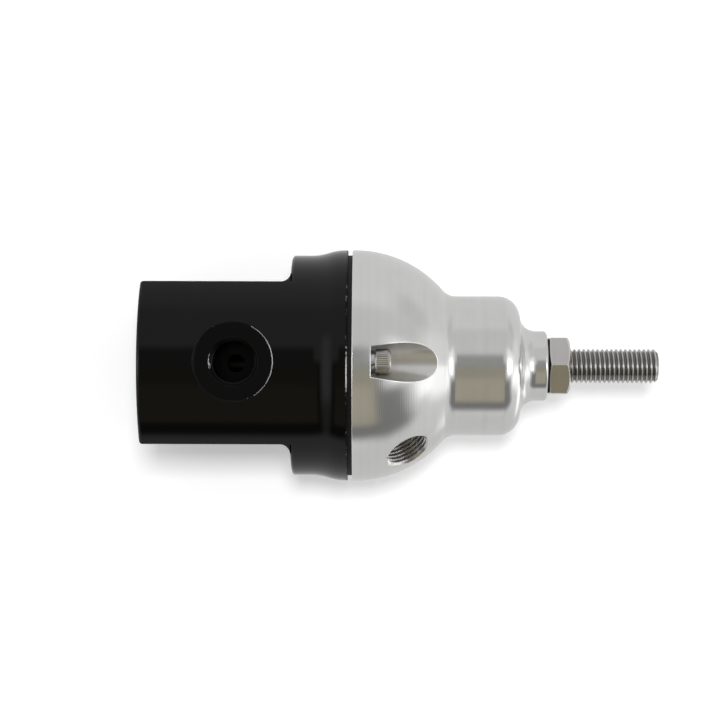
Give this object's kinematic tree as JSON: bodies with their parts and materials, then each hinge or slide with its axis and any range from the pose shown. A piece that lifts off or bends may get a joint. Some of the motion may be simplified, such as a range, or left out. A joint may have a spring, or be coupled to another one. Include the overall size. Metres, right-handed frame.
{
  "type": "fuel pressure regulator",
  "caption": "Return-type fuel pressure regulator: ported black body, domed bonnet clamping a diaphragm, spring-loaded ball valve, adjusting stud with jam nut.",
  "frame": {"origin": "centre of the return port face at the bottom of the lower body", "axes": "+Z along the regulator's axis towards the adjusting stud; the gauge port faces -Y and the inlet ports face +X and -X"},
  "size_m": [0.0526, 0.0526, 0.1165],
  "materials": {
    "black_anodised": "gloss black anodised billet",
    "clear_anodised": "turned and clear anodised",
    "screw_steel": "bright stainless with knurled head",
    "stainless": "bright machined stainless",
    "ball_steel": "polished bearing steel",
    "zinc_plate": "zinc plated steel",
    "spring_wire": "oil tempered spring wire",
    "black_rubber": "matte black rubber"
  },
  "bodies": {
    "housing": {"lower_body": "black_anodised", "spring_bonnet": "clear_anodised", "bonnet_screws": "screw_steel", "lock_washers": "zinc_plate", "diaphragm": "black_rubber", "valve_seat": "stainless", "seat_o_ring": "black_rubber", "main_spring": "spring_wire"},
    "valve": {"lower_diaphragm_plate": "stainless", "spring_cup": "zinc_plate", "valve_stem": "stainless", "stem_washer": "zinc_plate", "stem_nut": "zinc_plate", "valve_ball": "ball_steel"},
    "spring_seat": {"upper_spring_seat": "zinc_plate", "thrust_ball": "ball_steel"},
    "adjuster": {"adjusting_screw": "stainless"},
    "nut_seal": {"seal_washer": "black_rubber"},
    "locknut": {"jam_nut": "stainless"}
  },
  "joints": [
    {"name": "valve_lift", "type": "slide", "parent": "housing", "child": "valve", "axis": [0, 0, 1], "range_m": [0, 0.001], "stiffness_N_per_m": 4900, "deforming": ["diaphragm", "main_spring"]},
    {"name": "adjuster_travel", "type": "slide", "parent": "housing", "child": "spring_seat", "axis": [0, 0, 1], "range_m": [-0.00846, 0.00105], "deforming": ["main_spring"]},
    {"name": "adjuster_turn", "type": "hinge", "parent": "spring_seat", "child": "adjuster", "pos_m": [0, 0, 0.1], "axis": [0, 0, 1], "range_deg": [-2880, 360]},
    {"name": "nut_travel", "type": "slide", "parent": "housing", "child": "nut_seal", "axis": [0, 0, 1], "range_m": [0, 0.00846]},
    {"name": "nut_turn", "type": "hinge", "parent": "nut_seal", "child": "locknut", "pos_m": [0, 0, 0.0939], "axis": [0, 0, 1], "range_deg": [0, 2880]}
  ],
  "couplings": [
    {"joint": "adjuster_turn", "follows": "adjuster_travel", "rad_per_m": 5936.9},
    {"joint": "nut_turn", "follows": "nut_travel", "rad_per_m": 5936.9}
  ]
}
